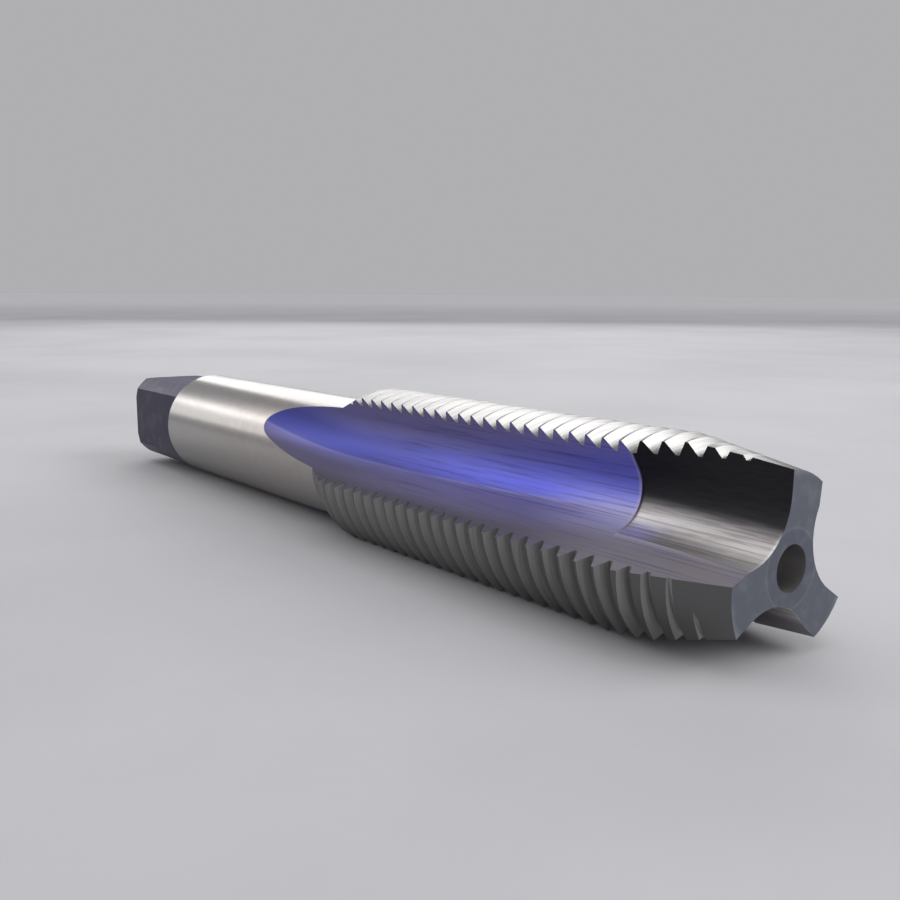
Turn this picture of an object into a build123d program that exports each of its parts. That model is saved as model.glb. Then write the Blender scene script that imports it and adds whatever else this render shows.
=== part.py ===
from build123d import *
import os
from math import ceil, cos, radians, sin, tan

# Spiral-point machine tap, M14 x 1.5, with three straight flutes, lying on two of its lands.
# The axis runs along X with the nose at +X, and z = 0 is the surface under the crests.
# Clock angles are in degrees about the axis, from straight up towards +Y.

# Whole tool
overall_length = 90.0
shank_diameter = 11.2
end_chamfer = 0.6  # round the edge of the drive end

# Driving square
square_side = 9.0
square_length = 12.5
square_turn = 0.0  # of the flats, from level

# Thread
major_diameter = 14.0
pitch = 1.5
thread_depth = 0.92
crest_width = 0.19
root_width = 0.25
groove_overrun = 22.0  # in degrees, that each groove stops short of the next land
groove_margin = 0.1  # that its cutter stands above the crests
thread_length = 41.3  # from the nose to the bevel behind the thread
back_bevel_angle = 21.0  # down from the thread to the shank
first_crest = 0.36  # from the nose back to the first crest on the top land's cutting edge

# Lands and straight flutes
land_count = 3
land_width = 48.7  # in degrees, from the cutting edge to the heel
rake_angle = 6.0
heel_lean = 17.0  # of the heel wall from the radius at the heel
flute_radius = 2.4  # at the bottom of the flute
flute_length = 41.3  # at full depth, behind the nose
cutter_radius = 32.0  # of the disc cutter, whose arc is the run-out
cutter_lift = -75.0  # clock direction in which it leaves the top land's flute
run_out_arc = 50.0  # in degrees, enough to leave the shank

# Lead chamfer, relieved behind each cutting edge
chamfer_angle = 9.5
chamfer_radius = 5.7  # at the nose, on the middle of a land
chamfer_middle = 12.0  # clock angle of that middle, on the top land
chamfer_relief = 0.63  # shift of each land's cone towards its cutting edge
chamfer_reach = 12.0  # longer than the chamfer

# Spiral point, ground into each flute at the nose
point_length = 10.2
point_web = 2.24  # radius of the core left at the nose
point_radius = 4.05  # of the channel at the nose
point_middle = -44.0  # clock angle of the channel at the nose
point_step = 0.12  # depth of the channel below the flute where the grind begins
point_face = 2.0  # clock direction of its cutting face at the nose
point_start_floor = -100.0  # clock direction of its floor where the grind begins
point_floor = -88.0  # clock direction of its floor at the nose

# Centre holes
centre_diameter = 2.9
centre_depth = 3.2
drill_angle = 118.0
drive_centre_diameter = 3.4
centre_angle = 60.0

# Values worked out from those above
major_radius = major_diameter / 2
root_radius = major_radius - thread_depth
shank_radius = shank_diameter / 2
land_spacing = 360 / land_count
nose_x = overall_length / 2
tail_x = -overall_length / 2
edge_angle = -land_width / 2
heel_angle = land_width / 2 - land_spacing
axis_height = major_radius * cos(radians((land_spacing - land_width) / 2))
tap_axis = Axis((0, 0, axis_height), (1, 0, 0))
side_plane = Plane(origin=(0, 0, axis_height), x_dir=(1, 0, 0), z_dir=(0, -1, 0))
clear = major_diameter  # further out than every cut


def section_plane(x):
    """Plane across the tap at x, with its own x along +Y and its own y up."""
    return Plane(origin=(x, 0, axis_height), x_dir=(0, 1, 0), z_dir=(1, 0, 0))


def clock(radius, angle):
    """Point of a section plane at a radius and a clock angle."""
    return Vector(radius * sin(radians(angle)), radius * cos(radians(angle)))


def meet(point_a, angle_a, point_b, angle_b):
    """Point where two lines of a section plane meet, each from a point and a direction."""
    a = clock(1, angle_a)
    b = clock(1, angle_b)
    gap = point_b - point_a
    return point_a + a * ((gap.X * b.Y - gap.Y * b.X) / (a.X * b.Y - a.Y * b.X))


def turned(part, angle):
    """Copy of a part, turned about the tap's axis by a clock angle."""
    return part.rotate(tap_axis, -angle)


def gullet(centre, radius, face_direction, wall_direction):
    """Closed outline of a cut: a round bottom with a straight side up from each end of it."""
    face_foot = centre + clock(radius, face_direction + 90)
    wall_foot = centre + clock(radius, wall_direction - 90)
    face_end = face_foot + clock(clear, face_direction)
    wall_end = wall_foot + clock(clear, wall_direction)
    bottom = centre - clock(radius, (face_direction + wall_direction) / 2)
    Line(face_end, face_foot)
    ThreePointArc(face_foot, bottom, wall_foot)
    Line(wall_foot, wall_end)
    Line(wall_end, face_end)


# Straight flute: a nearly radial cutting face, a leaning heel wall and a round bottom
face_direction = edge_angle - rake_angle
wall_direction = heel_angle - heel_lean
flute_corner = meet(
    clock(major_radius, edge_angle), face_direction, clock(major_radius, heel_angle), wall_direction
)
half_opening = (face_direction - wall_direction) / 2
flute_centre = flute_corner + clock(
    flute_radius / sin(radians(half_opening)), face_direction - half_opening
)

cutter_centre = flute_centre + clock(cutter_radius - flute_radius, cutter_lift)
cutter_side = clock(1, cutter_lift + 90)

with BuildPart() as flute_cutter:
    with BuildSketch(section_plane(nose_x - flute_length)) as flute_section:
        with BuildLine():
            gullet(flute_centre, flute_radius, face_direction, wall_direction)
        make_face()
    extrude(amount=flute_length + pitch)
    # The disc cutter leaves its own arc where it lifts out of the shank
    cutter_axis = Axis(
        section_plane(nose_x - flute_length).from_local_coords(cutter_centre),
        (0, cutter_side.X, cutter_side.Y),
    )
    revolve(flute_section.sketch, axis=cutter_axis, revolution_arc=run_out_arc)

# Spiral point: a channel that turns and deepens towards the nose
point_nose_centre = clock(point_web + point_radius, point_middle)

with BuildPart() as point_cutter:
    with BuildSketch(section_plane(nose_x - point_length)):
        with BuildLine():
            gullet(flute_centre, flute_radius + point_step, face_direction, point_start_floor)
        make_face()
    with BuildSketch(section_plane(nose_x)):
        with BuildLine():
            gullet(point_nose_centre, point_radius, point_face, point_floor)
        make_face()
    loft(ruled=True)

# Thread groove: a V across one land, along the right-hand helix
groove_arc = land_spacing - 2 * groove_overrun
groove_start = heel_angle + land_spacing + (groove_arc - land_width) / 2
groove_rise = pitch * (groove_start - edge_angle) / 360  # along X as far as the cutting edge
flank_slope = (pitch - crest_width - root_width) / 2 / thread_depth
top_width = pitch - crest_width + 2 * flank_slope * groove_margin

with BuildPart() as groove_cutter:
    with BuildLine() as groove_path:
        Helix(pitch, pitch * groove_arc / 360, root_radius, tap_axis.position, (1, 0, 0))
    groove_foot = groove_path.line @ 0
    with BuildSketch(Plane(groove_foot, x_dir=(1, 0, 0), z_dir=groove_path.line % 0)):
        with BuildLine():
            Polyline(
                (-root_width / 2, 0),
                (root_width / 2, 0),
                (top_width / 2, thread_depth + groove_margin),
                (-top_width / 2, thread_depth + groove_margin),
                close=True,
            )
        make_face()
    sweep(is_frenet=True)

groove_count = ceil((thread_length + major_radius - root_radius) / pitch)
grooves = []
for land in range(land_count):
    for turn in range(groove_count):
        groove_x = nose_x - first_crest - pitch * (turn + 1 / 2 + land / land_count) - groove_rise
        groove = turned(groove_cutter.part, groove_start + land * land_spacing)
        grooves.append(Pos(groove_x, 0, 0) * groove)

# Lead chamfer: what stands outside a cone, over one land, with the cone shifted for relief
chamfer_shift = clock(chamfer_relief, chamfer_middle - 90)
chamfer_axis = Axis((0, chamfer_shift.X, axis_height + chamfer_shift.Y), (1, 0, 0))
chamfer_plane = Plane(chamfer_axis.position, x_dir=(1, 0, 0), z_dir=(0, -1, 0))
chamfer_back_radius = chamfer_radius + chamfer_reach * tan(radians(chamfer_angle))

with BuildPart() as chamfer_cutter:
    with BuildSketch(section_plane(nose_x - chamfer_reach)):
        with BuildLine():
            left = clock(clear, -land_spacing / 2)
            right = clock(clear, land_spacing / 2)
            Polyline((0, 0), (left.X, left.Y), (right.X, right.Y), close=True)
        make_face()
    extrude(amount=chamfer_reach)
    with BuildSketch(chamfer_plane):
        with BuildLine():
            Polyline(
                (nose_x - chamfer_reach, 0),
                (nose_x - chamfer_reach, chamfer_back_radius),
                (nose_x, chamfer_radius),
                (nose_x, 0),
                close=True,
            )
        make_face()
    revolve(axis=chamfer_axis, mode=Mode.SUBTRACT)

# The tap: a turned blank, cut in the order that the real one is
bevel_length = (major_radius - shank_radius) / tan(radians(back_bevel_angle))

with BuildPart() as thread_tap:
    with BuildSketch(side_plane):
        with BuildLine():
            Polyline(
                (tail_x, 0),
                (tail_x, shank_radius - end_chamfer),
                (tail_x + end_chamfer, shank_radius),
                (nose_x - thread_length - bevel_length, shank_radius),
                (nose_x - thread_length, major_radius),
                (nose_x, major_radius),
                (nose_x, 0),
                close=True,
            )
        make_face()
    revolve(axis=tap_axis)
    with BuildSketch(section_plane(tail_x)):
        Circle(shank_diameter)
        Rectangle(square_side, square_side, rotation=-square_turn, mode=Mode.SUBTRACT)
    extrude(amount=square_length, mode=Mode.SUBTRACT)
    for land in range(land_count):
        add(turned(chamfer_cutter.part, land * land_spacing), mode=Mode.SUBTRACT)
    for land in range(land_count):
        add(turned(flute_cutter.part, land * land_spacing), mode=Mode.SUBTRACT)
        add(turned(point_cutter.part, land * land_spacing), mode=Mode.SUBTRACT)
    add(grooves, mode=Mode.SUBTRACT)
    with BuildSketch(side_plane):
        with BuildLine():
            Polyline(
                (nose_x, 0),
                (nose_x, centre_diameter / 2),
                (nose_x - centre_depth, centre_diameter / 2),
                (nose_x - centre_depth - centre_diameter / 2 / tan(radians(drill_angle / 2)), 0),
                close=True,
            )
        make_face()
    revolve(axis=tap_axis, mode=Mode.SUBTRACT)
    with BuildSketch(side_plane):
        with BuildLine():
            Polyline(
                (tail_x, 0),
                (tail_x, drive_centre_diameter / 2),
                (tail_x + drive_centre_diameter / 2 / tan(radians(centre_angle / 2)), 0),
                close=True,
            )
        make_face()
    revolve(axis=tap_axis, mode=Mode.SUBTRACT)

thread_tap.part.label = "thread_tap"
os.makedirs("parts", exist_ok=True)
export_step(thread_tap.part, "parts/thread_tap.step")
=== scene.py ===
from math import degrees, radians

import bmesh
import bpy
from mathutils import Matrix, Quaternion, Vector

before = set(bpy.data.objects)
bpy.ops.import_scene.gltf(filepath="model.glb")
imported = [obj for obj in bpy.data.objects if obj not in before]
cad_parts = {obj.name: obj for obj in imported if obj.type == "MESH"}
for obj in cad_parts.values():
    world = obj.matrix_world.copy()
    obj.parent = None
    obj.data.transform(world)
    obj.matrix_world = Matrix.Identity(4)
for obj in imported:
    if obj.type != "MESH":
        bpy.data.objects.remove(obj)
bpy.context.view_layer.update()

# Sizes of the tap that the finish follows, in mm and degrees
tap = {
    "axisHeight": 5.688,  # over the floor
    "nose": 45.0,
    "landSpacing": 120.0,
    "cuttingEdge": 24.4,  # clock angle of the top land's edge
    "pointOverrun": 30.0,  # that the point's edge runs on over the top land
    "fluteMiddle": 25.0,  # from the cutting edge to the flute's middle line
    "rootRadius": 6.08,
    "ringRadius": 2.4,  # of the faint ring on the end face
    "nearAxis": 0.01,  # keeps a division from zero
}

# The crease where the blue of a flute stops, in mm aside from the flute's middle line
crease = {
    "aside": 1.15,
    "straightAt": 40.0,  # mm behind the nose, where its drift is zero
    "drift": 0.0015,  # times the square of the distance from there
}

# Soft steps at the edges of the tap's zones: x, radius and distance behind the nose in mm,
# and how far a surface faces outward or along x as a share of 1
steps = {
    "squareFront": (-32.46, -32.42),
    "shankOutward": (0.93, 0.97),
    "shankRadius": (5.42, 5.5),
    "shankFront": (0.7, 0.9),
    "threadBack": (-0.1, 0.1),
    "flankFacing": (0.3, 0.4),
    "flankRadius": (5.2, 5.3),
    "crestOutward": (0.8, 0.9),
    "crestRadius": (5.3, 5.4),
    "rootGap": (0.03, 0.07),
    "rootFacing": (0.08, 0.13),
    "faceFacing": (0.95, 0.98),
    "faceBehind": (0.02, 0.08),
    "holeRadius": (1.5, 1.53),
    "holeBehind": (3.9, 4.4),
    "pointBehind": (10.18, 10.21),
    "pointAside": (1.7, 2.4),
    "runOutBehind": (38, 43),
}

# Noises: which measures they follow, how much of each, then their own scale and detail
noises = {
    "along": {"of": ("x", "y", "z"), "by": (0.06, 3.2, 3.2), "scale": 2.0, "detail": 4.0},
    "fine": {"of": ("x", "y", "z"), "by": (0.25, 11, 11), "scale": 2.0, "detail": 3.0},
    "hoop": {"of": ("x", "clock", "radius"), "by": (9, 0.01, 0.4), "scale": 2.0, "detail": 4.0},
    "mottle": {"of": ("x", "y", "z"), "by": (0.5, 0.5, 0.5), "scale": 1.6, "detail": 4.0},
    "grain": {"of": ("x", "y", "z"), "by": (7, 7, 7), "scale": 2.0, "detail": 3.0},
}

# Heat tint across a flute: violet beside the teeth, blue on the floor, then purple grey
heatTint = {
    "start": -3.0,  # mm aside
    "span": 8.0,
    "waver": 0.03,
    "stops": [
        (0.0, (0.27, 0.235, 0.36)),
        (0.12, (0.29, 0.27, 0.50)),
        (0.25, (0.19, 0.20, 0.68)),
        (0.42, (0.175, 0.19, 0.76)),
        (0.505, (0.20, 0.21, 0.68)),
        (0.545, (0.22, 0.205, 0.44)),
        (0.95, (0.135, 0.12, 0.16)),
    ],
}

# A layer covers what is below it where its measures rise and fall
fluteLayers = [
    {  # painted highlight: a lilac line along the crease
        "colour": (0.42, 0.40, 0.60), "share": 0.35,
        "rise": {"behind": (11, 18)},
        "fall": {"creaseGap": (0.03, 0.2)},
    },
    {  # darker blue towards the run-out
        "colour": (0.05, 0.055, 0.12), "share": 0.45,
        "rise": {"behind": (22, 40), "edge": (-2.0, -0.7)},
        "fall": {"edge": (0.9, 1.4)},
    },
    {  # lilac tint beside the point, partly a painted highlight
        "colour": (0.58, 0.56, 0.74), "share": 0.62,
        "rise": {"aside": (-1.9, 0.2)},
        "fall": {"behind": (10, 20), "aside": (1.4, 3.2)},
    },
    {  # grey on the heel wall near the nose
        "colour": (0.27, 0.25, 0.255), "share": 0.75,
        "rise": {"aside": (0.9, 2.6)},
        "fall": {"behind": (8, 19)},
    },
    {  # dark on the heel wall at the back
        "colour": (0.095, 0.085, 0.11), "share": 0.6,
        "rise": {"behind": (24, 44), "edge": (1.2, 2.6)},
    },
    {  # darker still along the heel's edge
        "colour": (0.05, 0.048, 0.055), "share": 0.5,
        "rise": {"aside": (3.2, 4.5), "behind": (8, 30)},
    },
    {  # pale grinding lines
        "colour": (0.30, 0.29, 0.50), "share": 0.22,
        "rise": {"fine": (0.45, 0.75)},
        "fall": {"behind": steps["runOutBehind"]},
    },
    {  # dark grinding lines
        "colour": (0.07, 0.06, 0.16), "share": 0.4,
        "fall": {"along": (0.32, 0.5), "behind": steps["runOutBehind"]},
    },
    {  # painted highlight on the edge where the point's grind begins
        "colour": (0.50, 0.46, 0.56), "share": 0.45,
        "fall": {"behind": (10.32, 10.5), "aside": (0.8, 1.6)},
    },
]

# The zones that cover the flute's colour, in turn
zoneLooks = {
    "inPoint": {
        "base": (0.70, 0.68, 0.665),
        "layers": [
            {  # pinkish grinding lines
                "colour": (0.50, 0.445, 0.45), "share": 1.0,
                "rise": {"along": (0.42, 0.62)},
            },
            {  # painted dark reflection beside the cutting edge, where the polished point would mirror a dark room
                "colour": (0.016, 0.016, 0.02), "share": 0.98,
                "fall": {"aside": (-1.5, 0.7)},
            },
            {  # grey towards the heel
                "colour": (0.22, 0.20, 0.20), "share": 0.22,
                "rise": {"aside": (1.4, 2.6)},
            },
            {  # bright burr on the nose's edge
                "colour": (0.86, 0.85, 0.85), "share": 0.75,
                "rise": {"aside": (-1.2, 0.4), "grain": (0.32, 0.5)},
                "fall": {"behind": (0.06, 0.24)},
            },
        ],
    },
    "onLand": {
        "base": (0.30, 0.295, 0.29),
        "layers": [
            {  # lines round the lands
                "colour": (0.19, 0.185, 0.185), "share": 0.5,
                "rise": {"hoop": (0.4, 0.7)},
            },
            {  # darker crests and lead
                "colour": (0.11, 0.108, 0.108), "share": 0.88,
                "within": "onTop",
            },
        ],
    },
    "onShank": {
        "base": (0.375, 0.36, 0.345),
        "layers": [
            {  # lines round the shank
                "colour": (0.29, 0.28, 0.27), "share": 0.35,
                "rise": {"hoop": (0.45, 0.65)},
            },
            {  # faint straw tint towards the flutes
                "colour": (0.36, 0.30, 0.27), "share": 0.5,
                "rise": {"x": (-26, -14), "mottle": (0.3, 0.7)},
            },
        ],
    },
    "onSquare": {
        "base": (0.115, 0.11, 0.145),
        "layers": [
            {  # worn patches
                "colour": (0.16, 0.155, 0.195), "share": 0.6,
                "rise": {"mottle": (0.45, 0.7)},
            },
        ],
    },
    "onFace": {
        "base": (0.15, 0.16, 0.19),
        "layers": [
            {  # darker disc round the hole
                "colour": (0.12, 0.125, 0.16), "share": 0.5,
                "fall": {"radius": (2.25, 2.4)},
            },
            {  # pale patches
                "colour": (0.42, 0.43, 0.47), "share": 0.12,
                "rise": {"mottle": (0.45, 0.7)},
            },
            {  # faint ring round the disc
                "colour": (0.42, 0.43, 0.47), "share": 0.10,
                "fall": {"ringGap": (0.02, 0.12)},
            },
            {  # worn rim
                "colour": (0.42, 0.43, 0.47), "share": 0.6,
                "rise": {"radius": (5.3, 5.9), "grain": (0.4, 0.6)},
            },
        ],
    },
    "inHole": {"base": (0.38, 0.37, 0.365), "layers": []},
}

# Roughness, as what each zone or noise adds to the base
rough = {
    "base": 0.40,
    "fine": 0.14,
    "flute": 0.22,
    "shank": -0.21,
    "hoop": 0.08,
    "onTop": -0.12,
    "onSquare": 0.28,
    "onFace": 0.12,
    "inHole": 0.1,
}

# Height of each noise where it shows
relief = {"along": 0.35, "fine": 0.25, "hoop": 0.5, "grain": 0.6}
tapBump = 0.35
bumpDepth = 0.00002  # metres
noiseRoughness = 0.55

floorLook = {
    "radius": 3.0,
    "sides": 96,
    "cloudScale": 14.0,
    "cloudDetail": 5.0,
    "speckScale": 900.0,
    "speckDetail": 3.0,
    "base": (0.42, 0.42, 0.435),
    "layers": [
        {"colour": (0.37, 0.37, 0.385), "share": 1.0, "rise": {"cloud": (0.35, 0.7)}},
        # paler further out: painted light where the lamps' light falls off towards the horizon
        {"colour": (0.60, 0.60, 0.62), "share": 1.0, "rise": {"reach": (0.4, 1.4)}},
    ],
    "roughness": 0.75,
    "speckRoughness": 0.2,
    "bump": 0.15,
}

# Places and sizes in metres, power in watts
lamps = {
    "key": {"at": (-0.37, 0.30, 0.21), "size": (0.48, 0.22), "power": 0.64},  # tops, from behind
    "far": {"at": (0.32, 0.23, 0.26), "size": (0.40, 0.24), "power": 1.6},  # forward flanks
    "side": {"at": (-0.30, -0.22, 0.22), "size": (0.38, 0.38), "power": 0.56},  # into the flutes
    "line": {"at": (-0.45, -0.135, 0.17), "size": (0.09, 0.06), "power": 0.033},  # on the shank
    "front": {"at": (0.34, -0.30, 0.30), "size": (0.22, 0.22), "power": 0.19},
}
lampTarget = (0, 0, 0.005)

room = {
    "sunPower": 0.9,  # evens out the far floor
    "sunAngle": 1.0,
    "colour": (0.54, 0.54, 0.56),
    "strength": 0.8,
}

view = {
    "place": (0.0763332, -0.0486514, 0.0214626),  # metres
    "turn": (0.686765, 0.586722, 0.275893, 0.328624),  # quaternion
    "lens": 39.684,  # mm, as the sensor's width is
    "sensor": 36,
    "shift": (-0.0341, -0.00214),
    "clip": (0.001, 20),
}


class Wire:
    # a shader value; sums and products of wires add their own Math nodes
    def __init__(self, finish, socket):
        self.finish = finish
        self.socket = socket

    def calc(self, operation, *values):
        return self.finish.calc(operation, self, *values)

    def __add__(self, other):
        return self.calc("ADD", other)

    def __sub__(self, other):
        return self.calc("SUBTRACT", other)

    def __rsub__(self, other):
        return self.finish.calc("SUBTRACT", other, self)

    def __mul__(self, other):
        return self.calc("MULTIPLY", other)

    def __truediv__(self, other):
        return self.calc("DIVIDE", other)

    __radd__ = __add__

    def rise(self, limits):
        # 0 below the first limit, 1 above the second, a soft step between
        low, high = limits
        given = {"Value": self, "From Min": low, "From Max": high}
        return self.finish.add("ShaderNodeMapRange", {"interpolation_type": "SMOOTHSTEP"}, given)

    def fall(self, limits):
        return 1 - self.rise(limits)

    def gap(self, value):
        # how far it is from a value, either way
        return (self - value).calc("ABSOLUTE")


class Finish:
    # one material and the nodes in it
    def __init__(self, name):
        self.material = bpy.data.materials.new(name)
        self.material.use_nodes = True
        self.tree = self.material.node_tree
        self.tree.nodes.clear()

    def add(self, kind, settings=None, sockets=None, output=0):
        node = self.tree.nodes.new(kind)
        for name, value in (settings or {}).items():
            setattr(node, name, value)
        for name, value in (sockets or {}).items():
            if isinstance(value, Wire):
                self.tree.links.new(value.socket, node.inputs[name])
            else:
                node.inputs[name].default_value = value
        return Wire(self, node.outputs[output])

    def calc(self, operation, *values):
        return self.add("ShaderNodeMath", {"operation": operation}, dict(enumerate(values)))

    def split(self, vector):
        node = self.add("ShaderNodeSeparateXYZ", None, {"Vector": vector}).socket.node
        return [Wire(self, socket) for socket in node.outputs]

    def noise(self, place, scale, detail):
        given = {"Vector": place, "Scale": scale, "Detail": detail, "Roughness": noiseRoughness}
        return self.add("ShaderNodeTexNoise", None, given)

    def ramp(self, factor, stops):
        wire = self.add("ShaderNodeValToRGB", None, {"Fac": factor})
        elements = wire.socket.node.color_ramp.elements
        while len(elements) < len(stops):
            elements.new(0.5)
        for element, (position, colour) in zip(elements, stops):
            element.position = position
            element.color = (*colour, 1)
        return wire

    def mixed(self, factor, below, above):
        # a colour is a wire, or red, green and blue; 6, 7 and 2 are the Mix node's colour sockets
        given = {0: factor}
        for socket, colour in ((6, below), (7, above)):
            given[socket] = colour if isinstance(colour, Wire) else (*colour, 1)
        return self.add("ShaderNodeMix", {"data_type": "RGBA"}, given, output=2)

    def layered(self, measures, colour, layers):
        for layer in layers:
            factor = layer["share"]
            for name, limits in layer.get("rise", {}).items():
                factor = measures[name].rise(limits) * factor
            for name, limits in layer.get("fall", {}).items():
                factor = measures[name].fall(limits) * factor
            if "within" in layer:
                factor = measures[layer["within"]] * factor
            colour = self.mixed(factor, colour, layer["colour"])
        return colour

    def close(self, colour, roughness, height, metallic, bumpStrength):
        given = {"Height": height, "Distance": bumpDepth, "Strength": bumpStrength}
        bump = self.add("ShaderNodeBump", None, given)
        given = {
            "Base Color": colour, "Roughness": roughness, "Metallic": metallic, "Normal": bump
        }
        body = self.add("ShaderNodeBsdfPrincipled", None, given)
        out = self.tree.nodes.new("ShaderNodeOutputMaterial")
        self.tree.links.new(body.socket, out.inputs["Surface"])
        return self.material


def tapMeasures(f):
    # where a point of the surface lies on the tap, which way it faces, and its noises
    spot = f.add("ShaderNodeTexCoord", output="Object")
    x, y, height = [metres * 1000 for metres in f.split(spot)]
    z = height - tap["axisHeight"]
    radius = (y * y + z * z).calc("SQRT")
    clock = y.calc("ARCTAN2", z) * degrees(1)
    behind = tap["nose"] - x

    # each flute is folded onto one, so that all three have the same finish
    overrun = tap["pointOverrun"]
    across = overrun + 2 * tap["landSpacing"] - tap["cuttingEdge"] - clock
    across = across.calc("MODULO", tap["landSpacing"]) - overrun
    aside = radius * ((across - tap["fluteMiddle"]) * radians(1)).calc("SINE")
    fromStraight = crease["straightAt"] - behind
    edge = aside + fromStraight * fromStraight * crease["drift"]  # aside, with the drift undone

    facing, facingY, facingZ = f.split(f.add("ShaderNodeNewGeometry", output="Normal"))
    outward = (facingY * y + facingZ * z) / (radius + tap["nearAxis"])
    at = {
        "x": x,
        "y": y,
        "z": z,
        "radius": radius,
        "clock": clock,
        "behind": behind,
        "aside": aside,
        "edge": edge,
        "creaseGap": edge.gap(crease["aside"]),
        "ringGap": radius.gap(tap["ringRadius"]),
        "facing": facing,
        "outward": outward,
    }
    for name, noise in noises.items():
        parts = [at[measure] * factor for measure, factor in zip(noise["of"], noise["by"])]
        vector = f.add("ShaderNodeCombineXYZ", None, dict(enumerate(parts)))
        at[name] = f.noise(vector, noise["scale"], noise["detail"])
    return at


def addZones(at):
    # how far a point belongs to each zone of the tap, from 0 to 1
    x, radius, behind = at["x"], at["radius"], at["behind"]
    facing, outward = at["facing"], at["outward"]
    along = facing.gap(0)
    onThread = x.rise(steps["threadBack"])

    onShank = outward.rise(steps["shankOutward"]) * radius.rise(steps["shankRadius"])
    onFace = facing.rise(steps["faceFacing"]) * behind.fall(steps["faceBehind"])
    onFlank = along.rise(steps["flankFacing"]) * radius.rise(steps["flankRadius"])
    onCrest = outward.rise(steps["crestOutward"]) * radius.rise(steps["crestRadius"])
    inRoot = radius.gap(tap["rootRadius"]).fall(steps["rootGap"]) * along.fall(steps["rootFacing"])
    inPoint = behind.fall(steps["pointBehind"]) * at["aside"].fall(steps["pointAside"])
    inHole = radius.fall(steps["holeRadius"]) * behind.fall(steps["holeBehind"])

    at["onShank"] = onShank * x.fall(steps["shankFront"])
    at["onSquare"] = x.fall(steps["squareFront"])
    at["onLand"] = onFlank.calc("MAXIMUM", onCrest) * onThread * (1 - onFace)
    at["onTop"] = onCrest * (1 - onFlank) * (1 - inRoot) * onThread  # crests and the lead
    at["onFace"] = onFace
    at["inPoint"] = inPoint * (1 - onFace)
    at["inHole"] = inHole * (1 - onFace)


def tapFinish():
    f = Finish("bluedGroundSteel")
    at = tapMeasures(f)
    addZones(at)
    onShank, onLand, onSquare = at["onShank"], at["onLand"], at["onSquare"]

    heat = (at["edge"] - heatTint["start"]) / heatTint["span"]
    heat = heat + (at["mottle"] - 0.5) * heatTint["waver"]
    colour = f.layered(at, f.ramp(heat, heatTint["stops"]), fluteLayers)
    for zone, look in zoneLooks.items():
        colour = f.mixed(at[zone], colour, f.layered(at, look["base"], look["layers"]))

    inFlute = (1 - onLand) * (1 - onShank) * (1 - at["inPoint"])
    roughness = rough["base"] + (at["fine"] - 0.5) * (1 - onLand) * rough["fine"]
    roughness = roughness + inFlute * rough["flute"]
    roughness = roughness + onShank * (at["hoop"] * rough["hoop"] + rough["shank"])
    for zone in ("onTop", "onSquare", "onFace", "inHole"):
        roughness = roughness + at[zone] * rough[zone]

    # lines along the flutes, which fade at the run-out, hoops round shank and lands, and grain
    height = at["along"] * relief["along"] + at["fine"] * relief["fine"]
    height = height * at["behind"].fall(steps["runOutBehind"])
    height = height * (1 - onShank) * (1 - onSquare) * (1 - onLand)
    height = height + at["hoop"] * (onShank + onLand * (1 - at["onTop"])) * relief["hoop"]
    height = height + at["grain"] * (onSquare + at["onFace"]) * relief["grain"]
    return f.close(colour, roughness, height, 1.0, tapBump)


def floorFinish():
    f = Finish("paleFloor")
    spot = f.add("ShaderNodeTexCoord", output="Object")
    speck = f.noise(spot, floorLook["speckScale"], floorLook["speckDetail"])
    at = {
        "cloud": f.noise(spot, floorLook["cloudScale"], floorLook["cloudDetail"]),
        "reach": f.add("ShaderNodeVectorMath", {"operation": "LENGTH"}, {0: spot}, "Value"),
    }
    colour = f.layered(at, floorLook["base"], floorLook["layers"])
    roughness = floorLook["roughness"] + (speck - 0.5) * floorLook["speckRoughness"]
    return f.close(colour, roughness, speck, 0.0, floorLook["bump"])


def addItem(name, data, at=(0, 0, 0)):
    item = bpy.data.objects.new(name, data)
    item.location = at
    bpy.context.scene.collection.objects.link(item)
    return item


def turnItem(item, rotation):
    item.rotation_mode = "QUATERNION"
    item.rotation_quaternion = rotation


def makeFloor():
    mesh = bpy.data.meshes.new("floor")
    shape = bmesh.new()
    bmesh.ops.create_circle(
        shape, cap_ends=True, segments=floorLook["sides"], radius=floorLook["radius"]
    )
    shape.to_mesh(mesh)
    shape.free()
    floor = addItem("floor", mesh)
    mesh.materials.append(floorFinish())


def makeLights():
    for name, lamp in lamps.items():
        light = bpy.data.lights.new(name, "AREA")
        light.shape = "RECTANGLE"
        light.size, light.size_y = lamp["size"]
        light.energy = lamp["power"]
        holder = addItem(name, light, lamp["at"])
        holder.visible_camera = False
        turnItem(holder, (Vector(lampTarget) - holder.location).to_track_quat("-Z", "Y"))
    sun = bpy.data.lights.new("room", "SUN")
    sun.energy = room["sunPower"]
    sun.angle = room["sunAngle"]
    addItem("room", sun)
    world = bpy.data.worlds.new("studio")
    world.use_nodes = True
    background = world.node_tree.nodes["Background"].inputs
    background["Color"].default_value = (*room["colour"], 1)
    background["Strength"].default_value = room["strength"]
    bpy.context.scene.world = world


def makeCamera():
    camera = bpy.data.cameras.new("camera")
    camera.sensor_width = view["sensor"]
    camera.lens = view["lens"]
    camera.shift_x, camera.shift_y = view["shift"]
    camera.clip_start, camera.clip_end = view["clip"]
    camera.dof.use_dof = False
    holder = addItem("camera", camera, view["place"])
    turnItem(holder, Quaternion(view["turn"]))
    bpy.context.scene.camera = holder


makeCamera()
print("camera placed")
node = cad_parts["thread_tap"]
node.data.materials.clear()
node.data.materials.append(tapFinish())
print("tap finished")
makeFloor()
makeLights()
print("floor and lights made")
bpy.context.scene.view_settings.view_transform = "Standard"
